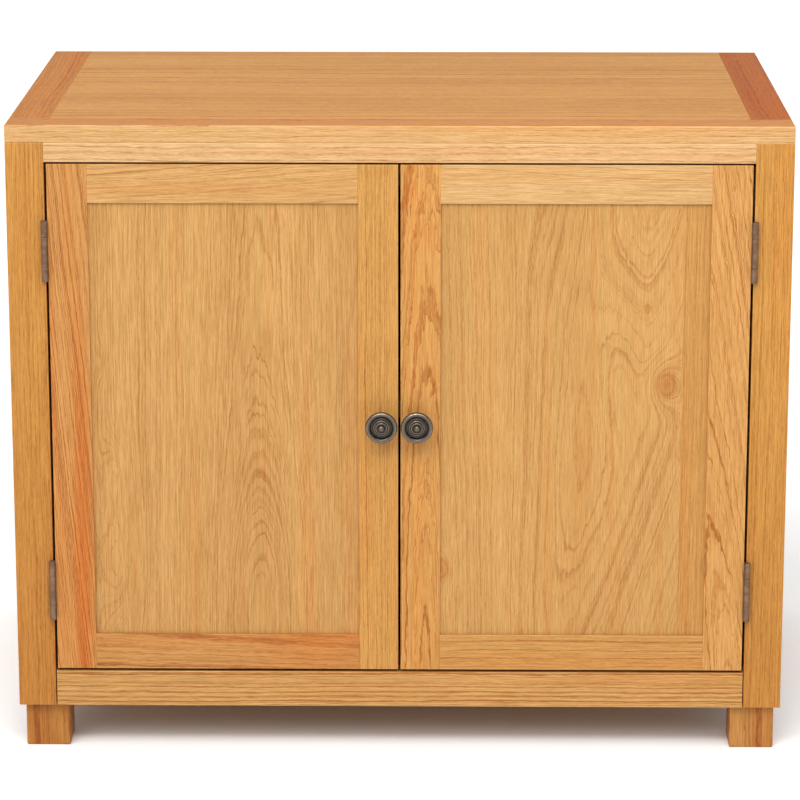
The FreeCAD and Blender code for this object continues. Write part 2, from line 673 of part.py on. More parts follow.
def make_shelf():
    """The shelf, between the posts, and the four pins that it lies on."""
    inner_face = f"({WALL_X} - side_panel_thickness / 2)"
    front = f"({FRONT} + post_width)"
    at = ("0", f"{front} + shelf_clearance", SHELF_Z)
    size = (
        f"2 * ({inner_face} - shelf_clearance)",
        f"{WALL_LENGTH} - 2 * shelf_clearance",
        "shelf_thickness",
    )
    board("shelf", at, size, "rail_arris")
    pins = new_body("shelf_pins", ("0", "0", SHELF_Z))
    for side_name, side in SIDES:
        for row in PIN_ROWS:
            y = f"{front} + {row}"
            start = (f"{side} * ({inner_face} - pin_root)", y, "-shelf_pin_radius")
            length = "pin_root + shelf_pin_depth - shelf_pin_play"
            rod(pins, "Pin", start, (side, 0, 0), "shelf_pin_radius", length)
            middle = f"{side} * ({inner_face} - pin_rest_gap - pin_rest_length / 2)"
            at = (middle, f"{y} - 2 * shelf_pin_radius", "-2 * shelf_pin_radius")
            rest = ("pin_rest_length", "4 * shelf_pin_radius", "2 * shelf_pin_radius")
            block(pins, "Rest", at, rest)


def make_back():
    """The back panel with a cable outlet behind each compartment, and its screws."""
    width = f"({OPENING_WIDTH} + 2 * back_panel_rebate)"
    at = ("0", BACK_PANEL_Y, "foot_height")
    panel = board("back_panel", at, (width, "back_panel_thickness", POST_HEIGHT))
    for z in CABLE_HOLE_Z:
        at = ("cable_hole_offset", "0", f"{z} - foot_height")
        thickness = "back_panel_thickness"
        rod(panel, "CableOutlet", at, (0, 1, 0), "cable_hole_radius", thickness, cut=True)
    screws = new_body("back_panel_screws", ("0", f"{BACK} - back_panel_recess", "0"))
    places = [(x, f"{UPPER_RAIL_Z} + upper_rail_height / 2") for x in BACK_SCREW_X]
    places += [(x, "foot_height + base_rail_height / 2") for x in BACK_SCREW_X]
    edge = f"({OPENING_WIDTH} + back_panel_rebate) / 2"
    places += [(f"{side} * {edge}", z) for name, side in SIDES for z in BACK_SCREW_Z]
    for x, z in places:
        hole = (x, "back_panel_thickness", f"{z} - foot_height")
        radius = "back_screw_radius + screw_play"
        rod(panel, "ScrewHole", hole, (0, -1, 0), radius, "back_panel_thickness", cut=True)
        rod(screws, "Shank", (x, "0", z), (0, -1, 0), "back_screw_radius", "back_screw_length")
        rod(screws, "Head", (x, "0", z), (0, 1, 0), "back_screw_head", "back_screw_radius")


# ---------------------------------------------------------------- doors

def make_stile(door, side, role):
    """A door's stile, grooved along its inner edge for the panel and the rails' tenons."""
    outboard = f"({OPENING_WIDTH} / 2 - hinge_gap - stile_width / 2)"
    x = outboard if role == "hinge" else MEETING_STILE_X
    inward = -side if role == "hinge" else side
    at = (f"{side} * {x}", FRONT, DOOR_BOTTOM)
    size = ("stile_width", "door_thickness", DOOR_HEIGHT)
    stile = board(f"{door}_{role}_stile", at, size, "door_arris")
    at = (f"{inward} * (stile_width - door_groove) / 2", "door_panel_inset", "0")
    groove = ("door_groove", "door_panel_thickness", DOOR_HEIGHT)
    block(stile, "Groove", at, groove, cut=True)
    return stile


def make_door_rail(door, side, role):
    """A door's top or bottom rail: stub tenons in the stiles, and a groove for the panel."""
    height = f"door_{role}_rail"
    lift = "0" if role == "bottom" else f"{DOOR_HEIGHT} - door_top_rail"
    at = (f"{side} * {DOOR_X}", FRONT, f"{DOOR_BOTTOM} + {lift}")
    size = (f"{DOOR_WIDTH} - 2 * stile_width", "door_thickness", height)
    rail = board(f"{door}_{role}_rail", at, size, "door_arris")
    full = f"{DOOR_WIDTH} - 2 * stile_width + 2 * door_groove"
    at = ("0", "door_panel_inset", "0")
    block(rail, "StubTenons", at, (full, "door_panel_thickness", height))
    groove_z = f"{height} - door_groove" if role == "bottom" else "0"
    at = ("0", "door_panel_inset", groove_z)
    block(rail, "Groove", at, (full, "door_panel_thickness", "door_groove"), cut=True)


def make_door_panel(door, side):
    """The flat panel, held in the grooves of the frame."""
    tongue = "(door_groove - door_panel_slack)"
    at = (
        f"{side} * {DOOR_X}",
        f"{FRONT} + door_panel_inset",
        f"{DOOR_BOTTOM} + door_bottom_rail - {tongue}",
    )
    size = (
        f"{DOOR_WIDTH} - 2 * stile_width + 2 * {tongue}",
        "door_panel_thickness",
        f"{DOOR_HEIGHT} - door_top_rail - door_bottom_rail + 2 * {tongue}",
    )
    board(f"{door}_panel", at, size)


def make_knob(door, side):
    """A turned metal knob: rose, stem, bell, rolled rim and stepped rings round a dome.

    Its own frame has the axis along +Z, away from the door.
    """
    knob = new_body(f"{door}_knob", (f"{side} * {KNOB_X}", FRONT, KNOB_Z))
    knob.Placement.Rotation = FreeCAD.Rotation(Vector(0, 0, 1), Vector(0, -1, 0))
    foot = ("0", "0", "0")
    dish_floor = ("0", "0", "dish_level")
    outward = (0, 0, 1)
    rod(knob, "Rose", foot, outward, "rose_radius", "rose_height")
    ease(knob, "rose_arris", lambda edge: edge.CenterOfMass.z > NEAR)
    cone(knob, "Stem", foot, outward, "stem_radius", "neck_radius", "stem_height")
    bell = ("neck_radius", "rim_radius", "dish_level - bell_level")
    cone(knob, "Bell", ("0", "0", "bell_level"), outward, *bell)
    rod(knob, "Dish", dish_floor, outward, "rim_radius", "dish_height")
    torus(knob, "Rim", "rim_level", "rim_radius", "rim_tube")
    for number, (radius, level) in enumerate(KNOB_RINGS):
        rod(knob, f"Step{number}", dish_floor, outward, str(radius), f"{level} - dish_level")
        torus(knob, f"Bead{number}", str(level), str(radius), "bead_radius")
    dome = knob.newObject("PartDesign::AdditiveSphere", "Dome")
    bind(dome, "Radius", "dome_radius")
    place(dome, ("0", "0", "knob_projection - dome_radius"))
    radius, depth = "knob_screw_radius + screw_play", "knob_screw_grip + knob_screw_play"
    rod(knob, "ScrewHole", foot, outward, radius, depth, cut=True)


def torus(body, name, level, ring_radius, tube_radius):
    """A ring round the sub-part's own Z axis."""
    ring = body.newObject("PartDesign::AdditiveTorus", name)
    bind(ring, "Radius1", ring_radius)
    bind(ring, "Radius2", tube_radius)
    place(ring, ("0", "0", level))


def make_knob_screw(door, side):
    """The machine screw that holds a knob, with its pan head on the back of the door."""
    at = (f"{side} * {KNOB_X}", f"{FRONT} + door_thickness", KNOB_Z)
    screw = new_body(f"{door}_knob_screw", at)
    length = "door_thickness + knob_screw_grip"
    rod(screw, "Shank", ("0", "0", "0"), (0, -1, 0), "knob_screw_radius", length)
    rod(screw, "Head", ("0", "0", "0"), (0, 1, 0), "knob_screw_radius * 2", "knob_screw_head")


def make_strike_plate(door, side):
    """The steel plate on the back of a door that the magnet holds."""
    x = f"{side} * {MEETING_STILE_X}"
    at = (x, f"{FRONT} + door_thickness", f"{CATCH_TOP} - catch_height")
    size = ("magnet_width + 2 * strike_overlap", "strike_thickness", "strike_height")
    plate = board(f"{door}_strike_plate", at, size)
    at = ("0", "strike_thickness", "strike_height / 2")
    countersink(plate, at, (0, -1, 0), "strike_thickness")


def hang_door(side, stile, screws):
    """Screws of the hinges' door leaves, and their pilot holes in the stile."""
    edge = f"{side} * stile_width / 2"
    for level, hinge_z in HINGE_LEVELS:
        for back, up in HINGE_SCREWS:
            screw_z = f"{hinge_z} + {up} * screw_spread"
            at = (f"{edge} + {side} * leaf_thickness", back, f"{screw_z} - {DOOR_BOTTOM}")
            screw_hole(stile, at, (-side, 0, 0))
            x = f"{side} * ({OPENING_WIDTH} / 2 - hinge_gap + leaf_thickness)"
            countersunk_screw(screws, (x, f"{FRONT} + {back}", screw_z), (-side, 0, 0))


def make_door(side_name, side):
    door = f"{side_name}_door"
    hinge_stile = make_stile(door, side, "hinge")
    meeting_stile = make_stile(door, side, "meeting")
    make_door_rail(door, side, "top")
    make_door_rail(door, side, "bottom")
    make_door_panel(door, side)
    make_knob(door, side)
    make_knob_screw(door, side)
    make_strike_plate(door, side)

    at = (f"{side} * ({KNOB_X} - {MEETING_STILE_X})", "0", f"{KNOB_Z} - {DOOR_BOTTOM}")
    radius = "knob_screw_radius + screw_play"
    rod(meeting_stile, "KnobHole", at, (0, 1, 0), radius, "door_thickness", cut=True)
    screws = new_body(f"{door}_wood_screws", ("0", "0", "0"))
    at = (f"{side} * {MEETING_STILE_X}", f"{FRONT} + door_thickness + strike_thickness", STRIKE_Z)
    countersunk_screw(screws, at, (0, -1, 0))
    at = ("0", "door_thickness + strike_thickness", f"{STRIKE_Z} - {DOOR_BOTTOM}")
    screw_hole(meeting_stile, at, (0, -1, 0))
    hang_door(side, hinge_stile, screws)


# ---------------------------------------------------------------- hinges

def knuckle_ends(quarters):
    """The ends of one knuckle, shortened by half a gap where another knuckle is next to it."""
    ends = []
    for quarter, towards_middle in zip(quarters, (1, -1)):
        play = "0" if abs(quarter) == 2 else f"{towards_middle} * knuckle_gap / 2"
        ends.append(f"({quarter} * hinge_length / 4 + {play})")
    return ends


def make_leaf(label, hinge_z, side, middle_x, knuckles, face_x, screw_direction):
    """A hinge leaf: a plate behind the front face, joined to its knuckles by tabs.

    Its own frame has the pin's axis as Z, and the hinge's middle at Z = 0.
    """
    leaf = new_body(label, (f"{side} * {AXIS_X}", AXIS_Y, hinge_z))
    at = (middle_x, "axis_proud", "-hinge_length / 2")
    block(leaf, "Plate", at, ("leaf_thickness", "leaf_width", "hinge_length"))
    for quarters in knuckles:
        low, high = knuckle_ends(quarters)
        length = f"{high} - {low}"
        rod(leaf, "Knuckle", ("0", "0", low), (0, 0, 1), "knuckle_radius", length)
        tab = ("leaf_thickness", "axis_proud + knuckle_lap", length)
        block(leaf, "Tab", (middle_x, "0", low), tab)
        rod(leaf, "PinBore", ("0", "0", low), (0, 0, 1), "knuckle_bore", length, cut=True)
    for back, up in HINGE_SCREWS:
        at = (face_x, f"axis_proud + {back}", f"{up} * screw_spread")
        countersink(leaf, at, (screw_direction, 0, 0), "leaf_thickness")


def make_hinges():
    """Four butt hinges: leaves on the posts, leaves on the doors, and their screws and pins."""
    screws = new_body("carcass_wood_screws", ("0", "0", "0"))
    for side_name, side in SIDES:
        for level, hinge_z in HINGE_LEVELS:
            face_x = f"{-side} * axis_outboard"
            middle_x = f"{side} * (leaf_thickness / 2 - axis_outboard)"
            label = f"{side_name}_{level}_hinge_frame_leaf"
            make_leaf(label, hinge_z, side, middle_x, FRAME_KNUCKLES, face_x, side)
            door_edge = "(axis_outboard + hinge_gap)"
            face_x = f"{-side} * ({door_edge} - leaf_thickness)"
            middle_x = f"{-side} * ({door_edge} - leaf_thickness / 2)"
            label = f"{side_name}_{level}_hinge_door_leaf"
            make_leaf(label, hinge_z, side, middle_x, DOOR_KNUCKLES, face_x, -side)
            for back, up in HINGE_SCREWS:
                x = f"{side} * {OPENING_WIDTH} / 2"
                at = (x, f"{FRONT} + {back}", f"{hinge_z} + {up} * screw_spread")
                countersunk_screw(screws, at, (side, 0, 0))
        catch_screw_z = f"{CATCH_TOP} - catch_flange_thickness"
        at = (f"{side} * {CATCH_SCREW_X}", f"{CATCH_Y} + catch_depth / 2", catch_screw_z)
        countersunk_screw(screws, at, (0, 0, 1))
    make_hinge_pins()


def make_hinge_pins():
    """One pin with domed ends, turned, and repeated at the other three hinges."""
    pins = new_body("hinge_pins", (f"-{AXIS_X}", AXIS_Y, LOWER_HINGE_Z))
    low = "-hinge_length / 2"
    rod(pins, "Pin", ("0", "0", low), (0, 0, 1), "hinge_pin_radius", "hinge_length")
    for end, direction in ((low, -1), ("hinge_length / 2", 1)):
        half = "hinge_pin_end / 2"
        rod(pins, "End", ("0", "0", end), (0, 0, direction), "knuckle_radius", half)
        start = f"{end} + {direction} * {half}"
        crown = ("knuckle_radius", "hinge_pin_crown", half)
        cone(pins, "Crown", ("0", "0", start), (0, 0, direction), *crown)
    doc.recompute()
    copies = pins.newObject("PartDesign::MultiTransform", "Copies")
    copies.Originals = [thing for thing in pins.Group if "Additive" in thing.TypeId]
    rows = []
    axes = (
        ("X_Axis", f"2 * {AXIS_X}"),
        ("Z_Axis", f"{UPPER_HINGE_Z} - {LOWER_HINGE_Z}"),
    )
    for role, distance in axes:
        pattern = pins.newObject("PartDesign::LinearPattern", "Row")
        axis = [feature for feature in pins.Origin.OriginFeatures if feature.Role == role][0]
        pattern.Direction = (axis, [""])
        pattern.Occurrences = 2
        bind(pattern, "Length", distance)
        rows.append(pattern)
    copies.Transformations = rows
    pins.Tip = copies


# ---------------------------------------------------------------- magnetic catch

def make_catch():
    """A twin magnetic catch under the stop rail, one magnet for each door."""
    corner = ("0", CATCH_Y, f"{CATCH_TOP} - catch_height")
    flange = "catch_flange_thickness"
    catch = new_body("catch_housing", corner)
    size = ("catch_width", "catch_depth", "catch_height")
    block(catch, "Housing", ("0", "0", "0"), size)
    ease(catch, "catch_arris", lambda edge: edge.CenterOfMass.z < NEAR)
    at = ("0", "0", f"catch_height - {flange}")
    block(catch, "Flange", at, ("catch_width + 2 * catch_flange", "catch_depth", flange))
    magnets = new_body("catch_magnets", corner)
    magnet = ("magnet_width", "catch_depth - magnet_backing", "magnet_height")
    magnet_z = "(catch_height - magnet_height) / 2 - magnet_drop"
    for side_name, side in SIDES:
        at = (f"{side} * {MEETING_STILE_X}", "0", magnet_z)
        block(catch, "MagnetPocket", at, magnet, cut=True)
        block(magnets, "Magnet", at, magnet)
        at = (f"{side} * {CATCH_SCREW_X}", "catch_depth / 2", f"catch_height - {flange}")
        countersink(catch, at, (0, 0, 1), flange)


# ---------------------------------------------------------------- build, check, write

make_cross_rails()
make_side_walls()
make_posts()
make_feet()
make_top()
make_top_screws()
make_floor()
make_shelf()
make_back()
for side_name, side in SIDES:
    make_door(side_name, side)
make_hinges()
make_catch()
doc.recompute()

for thing in doc.Objects:
    if "Invalid" in thing.State or "Error" in thing.State:
        raise RuntimeError(f"{thing.Name} ({thing.Label}) failed: {thing.State}")

os.makedirs("parts", exist_ok=True)
for body in [thing for thing in doc.Objects if thing.TypeId == "PartDesign::Body"]:
    shape = body.Shape
    if shape.isNull() or not shape.isValid():
        raise RuntimeError(f"{body.Label} has no valid shape")
    shape.exportStep(f"parts/{body.Label}.step")
    print(f"{body.Label}: {len(shape.Solids)} solid(s), {shape.Volume / 1000:.2f} cm3")
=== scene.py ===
"""An oak media cabinet with two panelled doors, in a plain pale studio.

Each wooden piece gets its own procedural oak from the BOARDS table, and the metal
pieces get theirs after it. Lengths are in metres. Colours are given as 8-bit
display values, and a tint multiplies a linear colour.
"""

import math

import bpy
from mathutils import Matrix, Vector


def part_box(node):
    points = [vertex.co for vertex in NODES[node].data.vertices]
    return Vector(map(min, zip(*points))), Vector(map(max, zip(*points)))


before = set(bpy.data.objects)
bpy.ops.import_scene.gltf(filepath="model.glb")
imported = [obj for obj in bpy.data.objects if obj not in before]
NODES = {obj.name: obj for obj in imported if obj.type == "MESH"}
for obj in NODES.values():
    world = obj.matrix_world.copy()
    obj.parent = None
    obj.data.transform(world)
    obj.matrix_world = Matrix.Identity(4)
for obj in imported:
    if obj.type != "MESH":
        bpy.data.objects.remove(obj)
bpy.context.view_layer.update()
AXES = "XYZ"

# Sockets of a Mix node: for colours, and for single numbers.
COLOUR_A, COLOUR_B, COLOUR_OUT = 6, 7, 2
NUMBER_A, NUMBER_B, NUMBER_OUT = 2, 3, 0


def linear(red, green, blue):
    """A linear colour from its 8-bit display values, by the sRGB curve."""

    def channel(value):
        share = value / 255
        return share / 12.92 if share <= 0.04045 else ((share + 0.055) / 1.055) ** 2.4

    return (channel(red), channel(green), channel(blue))


class Shader:
    """One material and short ways to add nodes to it."""

    def __init__(self, name):
        self.material = bpy.data.materials.new(name)
        self.material.use_nodes = True
        self.tree = self.material.node_tree
        self.surface = self.tree.nodes["Principled BSDF"]

    def add(self, kind, inputs, **settings):
        made = self.tree.nodes.new(kind)
        for key, value in settings.items():
            setattr(made, key, value)
        for key, value in inputs.items():
            self.feed(made.inputs[key], value)
        return made

    def feed(self, socket, value):
        """Link the socket to another one, or set its own value."""
        if isinstance(value, bpy.types.NodeSocket):
            self.tree.links.new(value, socket)
        elif socket.type == "RGBA":
            socket.default_value = (*value, 1.0)
        else:
            socket.default_value = value

    def coordinates(self):
        return self.add("ShaderNodeTexCoord", {}).outputs

    def math(self, operation, a, b=0.0, c=0.0):
        return self.add("ShaderNodeMath", {0: a, 1: b, 2: c}, operation=operation).outputs[0]

    def sum_of_squares(self, a, b):
        return self.math("ADD", self.math("MULTIPLY", a, a), self.math("MULTIPLY", b, b))

    def vector(self, operation, a, b, c=(0, 0, 0)):
        made = self.add("ShaderNodeVectorMath", {0: a, 1: b, 2: c}, operation=operation)
        return made.outputs[0]

    def span(self, value, low, high, to_low=0.0, to_high=1.0):
        """A smooth step from to_low at the value low to to_high at the value high."""
        inputs = {0: value, 1: low, 2: high, 3: to_low, 4: to_high}
        made = self.add("ShaderNodeMapRange", inputs, interpolation_type="SMOOTHSTEP")
        return made.outputs[0]

    def noise(self, place, stretch, offset, detail=2.0, roughness=0.5):
        """Noise with the stretch as its frequency per metre along each axis."""
        shifted = self.vector("MULTIPLY_ADD", place, stretch, offset)
        inputs = {"Vector": shifted, "Scale": 1.0, "Detail": detail, "Roughness": roughness}
        return self.add("ShaderNodeTexNoise", inputs).outputs["Fac"]

    def ramp(self, factor, stops):
        """A ramp through stops of a position and a colour, or a number for a grey."""
        made = self.add("ShaderNodeValToRGB", {0: factor})
        elements = made.color_ramp.elements
        while len(elements) < len(stops):
            elements.new(0.5)
        for element, (position, value) in zip(elements, stops):
            element.position = position
            colour = value if isinstance(value, tuple) else (value, value, value)
            element.color = (*colour, 1.0)
        return made.outputs["Color"]

    def blend(self, factor, under, over, blend_type="MIX"):
        made = self.add("ShaderNodeMix", {0: factor}, data_type="RGBA", blend_type=blend_type)
        self.feed(made.inputs[COLOUR_A], under)
        self.feed(made.inputs[COLOUR_B], over)
        return made.outputs[COLOUR_OUT]

    def tinted(self, colour, tint, amount):
        """The colour, multiplied by the tint as far as the amount says."""
        return self.blend(amount, colour, tint, "MULTIPLY")

    def bump(self, height, distance, strength):
        inputs = {"Height": height, "Distance": distance, "Strength": strength}
        self.feed(self.surface.inputs["Normal"], self.add("ShaderNodeBump", inputs).outputs[0])

    def finish(self, colour, roughness):
        self.feed(self.surface.inputs["Base Color"], colour)
        self.feed(self.surface.inputs["Roughness"], roughness)

    def set_evenly(self, name, value):
        """Set a number that is the same all over the surface."""
        self.surface.inputs[name].default_value = value

    def give_to(self, node):
        for slot in NODES[node].material_slots:
            slot.material = self.material


# Oak --------------------------------------------------------------------------------

EXPOSED = 1.6  # display tone over albedo, from the light on the front of the cabinet

# Tints of the board's own tone.
LATE_LINE = (0.68, 0.46, 0.27)
PALE_PATCH = (1.10, 1.13, 1.20)
WARM = (1.00, 0.74, 0.52)
PORE = (0.70, 0.52, 0.36)
KNOT = (0.74, 0.44, 0.24)
STRIP = (0.94, 0.86, 0.72)  # the board glued to the edge of a panel, past its joint
FIBRE_DARK, FIBRE_PALE = (0.86, 0.83, 0.73), (1.14, 1.17, 1.27)
# painted highlight on the rounded edges
EDGE_HIGHLIGHT = (1.28, 1.36, 1.48)

# Noise: its frequency per metre across the board, into it and along its grain.
WANDER_NOISE = (7, 7, 1.9)
WOBBLE_NOISE = (55, 55, 9)
RAGGED_NOISE = (240, 240, 65)
BREAK_UP_NOISE = (60, 60, 11)
DASH_NOISE = (600, 600, 60)
FIBRE_NOISE = (900, 900, 30)
FIBRE_HARSHNESS = 0.7  # share of its finest scale
FLECK_NOISE = (1500, 1500, 150)
PATCH_NOISE = (16, 16, 1.4)
STREAK_NOISE = (55, 55, 1.6)
SEED_STEP = (1.37, 2.11, 0.73)  # how far the noise shifts from one board to the next

# Spans: what goes in, from and to, and what comes out where that isn't 0 to 1.
FADED_LINE = (0.25, 0.60, 0.5, 1.0)
DASHED_LINE = (0.36, 0.60, 0.7, 1.2)
FIBRE_SPAN = (0.30, 0.70)
FLECK_SPAN = (0.46, 0.62)
PATCH_SPAN = (0.70, 0.30)
STREAK_SPAN = (0.50, 0.72)
UNEVEN_BLUSH = (0.35, 0.65, 0.6, 1.2)
# painted highlight on the rounded edges, broken up in patches
BROKEN_EDGE_HIGHLIGHT = (0.30, 0.60, 0.4, 1.0)
# painted shade on the face that looks up
SHADED_TOP_SPAN = (0.60, 0.95)  # of the normal's upward part
ROUNDED_EDGE = (0.97, 0.85)  # of the normal's largest part
# painted shade towards the lower end of a board
SHADED_LOW_END_SPAN = (0.50, -0.95)  # along the grain, of half the board's length

# Growth rings.
WOBBLE = 0.004  # how far they are bent between their sways
UNEVEN_NOISE, UNEVEN_YEARS = 70.0, 1.8  # how often and how far their widths vary
EARLY_WOOD = ((0.0, 0.4), (0.07, 1.0), (0.18, 0.72), (0.36, 0.14), (0.88, 0.0), (1.0, 0.4))
FAINTEST_LINE, LINE_RANGE = 0.5, 0.8  # each year has its own strength
STRIP_SPREAD = 1.3  # how fast the rings follow each other in the strip past a joint
LEAN_WIDTH, LEAN_LEAST = 0.11, 0.1  # over which a lean sets in, and its least share

# Knots, and swirls, which are figures round a knot that isn't in the board itself.
KNOT_SQUEEZE, SWIRL_SQUEEZE = 0.7, 0.3  # width over length
KNOT_CORE = ((0.0, 0.0), (0.50, 0.0), (0.72, 0.55), (0.80, 1.0), (0.88, 0.5), (1.0, 0.8))
KNOT_STRENGTH = 0.7

# Surface.
PORE_IN_LATE_WOOD, PORE_IN_EARLY_WOOD = 0.3, 0.7
PORE_RELIEF, LINE_RELIEF, FIBRE_RELIEF = -1.0, -0.25, 0.35
RELIEF_HEIGHT, RELIEF_STRENGTH = 0.0003, 0.4
OAK_ROUGHNESS, FIBRE_ROUGHNESS, PORE_ROUGHNESS = 0.36, 0.16, 0.2


class Board:
    """How one board was sawn and how it is coloured.

    axes: the frame's axes across the board, into its depth and along its grain.
    tone: the display colour of its middle. ring: the width of a year's growth.
    pith: where the heart of the tree lies, across the board and behind its face.
    """

    lean = 0.0  # how fast the heart runs off across the board
    lean_from = None  # where across the board the lean sets in, if it isn't even
    slope = 0.0  # how fast the heart runs off into the board
    wander = 0.010  # how far the rings sway
    ragged = 0.0016  # how far their outlines fray
    line = 0.5  # strength of the rings' dark lines
    warm = 0.3  # strength of the warm streaks
    pores = 0.6  # strength of the pores
    gloss = 0.2  # specular level
    knots = ()  # each: across, along, size, how far it pulls the rings
    swirls = ()  # the same
    joint = None  # where across the board a second, glued board begins
    # painted shade: the face that looks up is tinted darker and warmer than the sides
    upper = None  # tint of the face that looks up
    # painted shade: the board tinted darker towards its lower end
    shaded_low_end = None  # tint towards its lower end
    blushes = ()  # warm patches, each: across, along, width, length, strength

    def __init__(self, axes, tone, ring, pith, **options):
        self.axes = axes
        self.tone = tone
        self.ring = ring
        self.pith = pith
        for name, value in options.items():
            if not hasattr(Board, name):
                raise TypeError(f"a board has no {name}")
            setattr(self, name, value)


class Oak(Shader):
    """Solid oak for one board: growth rings, pores, fibre, warm streaks and knots."""

    def __init__(self, node, board, seed):
        super().__init__(f"oak_{node}")
        self.board = board
        self.offset = tuple(seed * step for step in SEED_STEP)
        low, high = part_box(node)
        depth_axis, grain_axis = (AXES.index(axis) for axis in board.axes[1:])
        self.half_length = (high - low)[grain_axis] / 2
        face = (low + high) / 2
        face[depth_axis] = high[depth_axis] if board.axes[1] == "Z" else low[depth_axis]
        coordinates = self.coordinates()
        local = self.vector("SUBTRACT", coordinates["Object"], tuple(face))
        split = self.add("ShaderNodeSeparateXYZ", {0: local}).outputs
        self.across, self.depth, self.along = (split[AXES.index(axis)] for axis in board.axes)
        parts = {0: self.across, 1: self.depth, 2: self.along}
        self.place = self.add("ShaderNodeCombineXYZ", parts).outputs[0]
        self.facing = self.add("ShaderNodeSeparateXYZ", {0: coordinates["Normal"]}).outputs
        wander = self.grain(WANDER_NOISE)
        self.bent = self.math("MULTIPLY_ADD", wander, board.wander * 2, -board.wander)
        self.break_up = self.grain(BREAK_UP_NOISE)
        turned = tuple(-shift for shift in self.offset)
        self.streak = self.noise(self.place, STREAK_NOISE, turned, detail=1)
        self.knot_bells = [self.pulling_bell(spot, KNOT_SQUEEZE) for spot in board.knots]
        self.paint()
        self.give_to(node)

    def grain(self, stretch, **settings):
        """Noise along the board's own axes, different on each board."""
        return self.noise(self.place, stretch, self.offset, **settings)

    def bell(self, across, along, wide, tall):
        """1 at a spot on the board's face, falling off smoothly round it."""
        u = self.math("MULTIPLY", self.math("SUBTRACT", self.across, across), 1 / wide)
        w = self.math("MULTIPLY", self.math("SUBTRACT", self.along, along), 1 / tall)
        return self.math("EXPONENT", self.math("MULTIPLY", self.sum_of_squares(u, w), -1.0))

    def pulling_bell(self, spot, squeeze):
        """The bell of a knot or swirl, drawn out along the grain, and its pull."""
        across, along, size, pull = spot
        return self.bell(across, along, 2 * size, 2 * size / squeeze), pull

    def heart_distance(self):
        """The distance from the heart of the tree, which the growth rings follow."""
        board = self.board
        x = self.math("ADD", self.math("SUBTRACT", self.across, board.pith[0]), self.bent)
        leaning = self.along
        if board.lean_from is not None:
            lean_to = board.lean_from + LEAN_WIDTH
            share = self.span(self.across, board.lean_from, lean_to, LEAN_LEAST, 1.0)
            leaning = self.math("MULTIPLY", self.along, share)
        x = self.math("MULTIPLY_ADD", leaning, -board.lean, x)
        y = self.math("SUBTRACT", self.depth, board.pith[1])
        y = self.math("MULTIPLY_ADD", self.along, board.slope, y)
        radius = self.math("SQRT", self.sum_of_squares(x, y))
        radius = self.math("MULTIPLY_ADD", self.grain(WOBBLE_NOISE), WOBBLE, radius)
        frayed = self.grain(RAGGED_NOISE, detail=1)
        radius = self.math("MULTIPLY_ADD", frayed, board.ragged, radius)
        swirl_bells = [self.pulling_bell(spot, SWIRL_SQUEEZE) for spot in board.swirls]
        for bell, pull in self.knot_bells + swirl_bells:
            radius = self.math("MULTIPLY_ADD", bell, pull, radius)
        if board.joint is not None:
            straight = self.math("MULTIPLY_ADD", self.across, STRIP_SPREAD, self.bent)
            sides = {0: self.past_joint(), NUMBER_A: radius, NUMBER_B: straight}
            radius = self.add("ShaderNodeMix", sides).outputs[NUMBER_OUT]
        return radius

    def past_joint(self):
        """1 on the strip that is glued to the board's edge, and 0 elsewhere."""
        return self.math("GREATER_THAN", self.across, self.board.joint)

    def early_wood(self):
        """How porous each year's wood is, and how strongly its line is drawn."""
        radius = self.heart_distance()
        reach = self.math("MULTIPLY", radius, UNEVEN_NOISE)
        uneven = self.add("ShaderNodeTexNoise", {"W": reach}, noise_dimensions="1D").outputs["Fac"]
        year = self.math("DIVIDE", radius, self.board.ring)
        year = self.math("MULTIPLY_ADD", uneven, UNEVEN_YEARS, year)
        early = self.ramp(self.math("FRACT", year), EARLY_WOOD)
        number = self.math("FLOOR", year)
        chance = self.add("ShaderNodeTexWhiteNoise", {"W": number}, noise_dimensions="1D")
        chance = self.math("POWER", chance.outputs["Value"], 2.0)
        line = self.math("MULTIPLY_ADD", chance, LINE_RANGE, FAINTEST_LINE)
        line = self.math("MULTIPLY", line, self.span(self.break_up, *FADED_LINE))
        dash = self.grain(DASH_NOISE, detail=1)
        line = self.math("MULTIPLY", line, self.span(dash, *DASHED_LINE))
        return early, self.math("MULTIPLY", early, line)

    def board_tone(self):
        """The board's colour before its rings, fibre and pores."""
        board = self.board
        colour = tuple(channel / EXPOSED for channel in linear(*board.tone))
        if board.joint is not None:
            colour = self.tinted(colour, STRIP, self.past_joint())
        # painted shade: the face that looks up tinted darker and warmer than the sides
        if board.upper:
            colour = self.tinted(colour, board.upper, self.span(self.facing[2], *SHADED_TOP_SPAN))
        patch = self.span(self.grain(PATCH_NOISE), *PATCH_SPAN)
        colour = self.tinted(colour, PALE_PATCH, patch)
        # painted shade: darker towards the board's lower end
        if board.shaded_low_end:
            start, end = (share * self.half_length for share in SHADED_LOW_END_SPAN)
            colour = self.tinted(colour, board.shaded_low_end, self.span(self.along, start, end))
        for across, along, wide, tall, amount in board.blushes:
            bell = self.bell(across, along, wide, tall)
            bell = self.math("MULTIPLY", bell, self.span(self.streak, *UNEVEN_BLUSH))
            colour = self.tinted(colour, WARM, self.math("MULTIPLY", bell, amount))
        return colour

    def painted_edge_highlight(self):
        """Painted highlight: how far each point is lightened, which only rounded edges are."""
        x, y, z = (self.math("ABSOLUTE", part) for part in self.facing)
        flat = self.math("MAXIMUM", x, self.math("MAXIMUM", y, z))
        broken = self.span(self.break_up, *BROKEN_EDGE_HIGHLIGHT)
        return self.math("MULTIPLY", self.span(flat, *ROUNDED_EDGE), broken)

